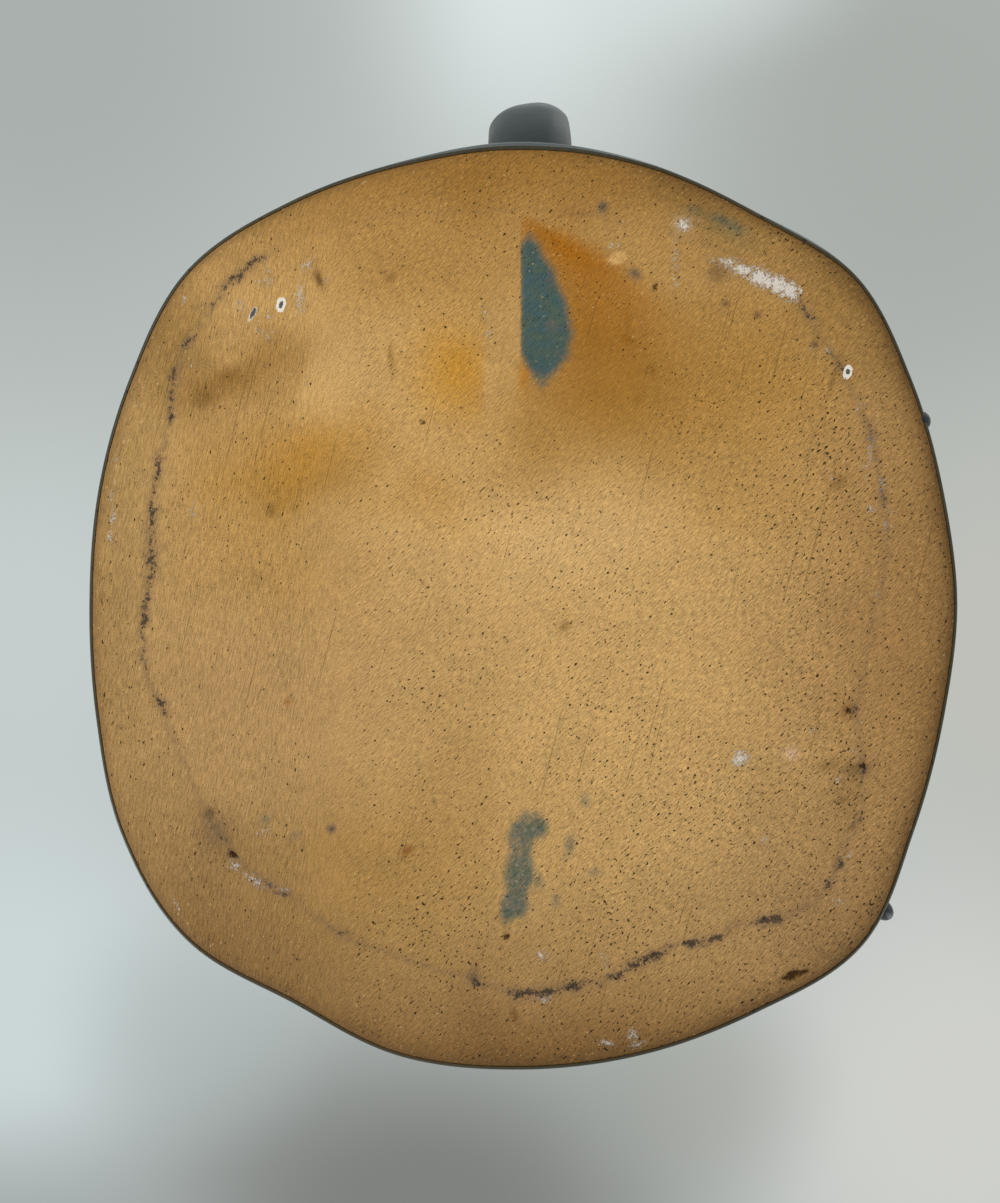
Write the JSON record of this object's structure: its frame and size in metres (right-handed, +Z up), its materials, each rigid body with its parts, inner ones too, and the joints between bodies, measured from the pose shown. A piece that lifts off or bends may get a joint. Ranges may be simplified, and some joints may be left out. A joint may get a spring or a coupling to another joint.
{
  "type": "pottery pitcher",
  "caption": "Hand-built stoneware pitcher: rounded-square paddled body, collar neck, beak spout and strap handle, in dark slate-teal glaze over a bare clay base.",
  "frame": {"origin": "middle of the underside, on the plane the pitcher stands on", "axes": "+Z up along the pot's axis, +X towards the handle, -X towards the spout, +Y to the right of the handle seen from below"},
  "size_m": [0.1947, 0.1394, 0.2085],
  "materials": {
    "stoneware": "bare buff stoneware, scraped and pitted, matt",
    "slate_glaze": "dark slate-teal glaze, satin to glossy"
  },
  "bodies": {
    "root": {"base_slab": "stoneware", "base_seam_coil": "slate_glaze", "back_wall_slab": "slate_glaze", "right_wall_slab": "slate_glaze", "front_wall_slab": "slate_glaze", "left_wall_slab": "slate_glaze", "back_shoulder_slab": "slate_glaze", "right_shoulder_slab": "slate_glaze", "front_shoulder_slab": "slate_glaze", "left_shoulder_slab": "slate_glaze", "right_collar_slab": "slate_glaze", "lip_coil": "slate_glaze", "spout": "slate_glaze", "handle_strap": "slate_glaze", "upper_handle_wad": "slate_glaze", "lower_handle_wad": "slate_glaze", "left_collar_slab": "slate_glaze"}
  },
  "joints": []
}
